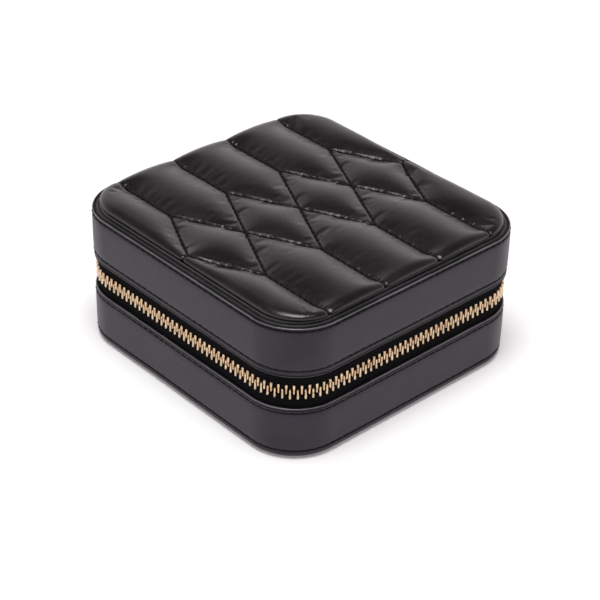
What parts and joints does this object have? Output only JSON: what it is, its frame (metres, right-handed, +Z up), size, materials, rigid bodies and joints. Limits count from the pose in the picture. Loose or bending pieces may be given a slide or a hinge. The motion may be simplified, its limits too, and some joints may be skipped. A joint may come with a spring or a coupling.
{
  "type": "jewellery case",
  "caption": "Square zip-round leather jewellery case with a quilted lid on a leather hinge, lined inside with ring rolls, compartments and a mirror.",
  "frame": {"origin": "middle of the underside, on the surface the case rests on", "axes": "+Z up; the front, away from the hinge, is -Y; +X is to the right of someone facing the front"},
  "size_m": [0.1147, 0.116, 0.0553],
  "materials": {
    "side_leather": "satin grained leather",
    "quilted_leather": "glossy smooth leather",
    "board": "plain board",
    "lining": "short-pile suede-like lining",
    "roll_fabric": "short-pile suede-like lining over foam",
    "foam": "foam wadding",
    "mirror_glass": "polished",
    "zip_tape": "woven tape",
    "zip_brass": "polished pale gold brass",
    "steel": "plain"
  },
  "bodies": {
    "base": {"base_underside": "side_leather", "base_filler_card": "board", "base_band": "side_leather", "base_board": "board", "base_frame": "board", "base_floor_lining": "lining", "base_wall_lining": "lining", "ring_roll_1": "roll_fabric", "ring_roll_2": "roll_fabric", "ring_roll_3": "roll_fabric", "ring_roll_4": "roll_fabric", "ring_roll_5": "roll_fabric", "ring_roll_6": "roll_fabric", "ring_roll_7": "roll_fabric", "compartment_divider_long": "lining", "compartment_divider_front": "lining", "compartment_divider_rear": "lining", "lower_zip_tape": "zip_tape", "lower_zip_teeth": "zip_brass", "lower_zip_teeth_slider_run": "zip_brass", "lower_top_stop": "zip_brass", "zip_bottom_stop": "zip_brass", "lower_hinge_leather": "side_leather"},
    "lid": {"lid_band": "side_leather", "lid_frame": "board", "lid_board": "board", "lid_rim_leather": "side_leather", "pad_welt": "quilted_leather", "pad_wadding": "foam", "quilted_cover": "quilted_leather", "lid_wall_lining": "lining", "lid_top_lining": "lining", "mirror": "mirror_glass", "mirror_surround": "lining", "upper_zip_tape": "zip_tape", "upper_zip_teeth": "zip_brass", "upper_zip_teeth_slider_run": "zip_brass", "upper_top_stop": "zip_brass", "upper_hinge_leather": "side_leather"},
    "slider": {"zip_slider": "zip_brass", "zip_pull_pin": "steel"},
    "pull": {"zip_pull_tab": "zip_brass"}
  },
  "joints": [
    {"name": "lid_hinge", "type": "hinge", "parent": "base", "child": "lid", "pos_m": [0, 0.0564, 0.0265], "axis": [-1, 0, 0], "range_deg": [0, 105]},
    {"name": "zip_travel", "type": "slide", "parent": "base", "child": "slider", "axis": [0, -1, 0], "range_m": [0, 0.065], "deforming": ["lower_zip_teeth_slider_run", "upper_zip_teeth_slider_run"]},
    {"name": "pull_swing", "type": "hinge", "parent": "slider", "child": "pull", "pos_m": [0.05775, 0.0315, 0.0265], "axis": [0, -1, 0], "range_deg": [0, 170]}
  ]
}
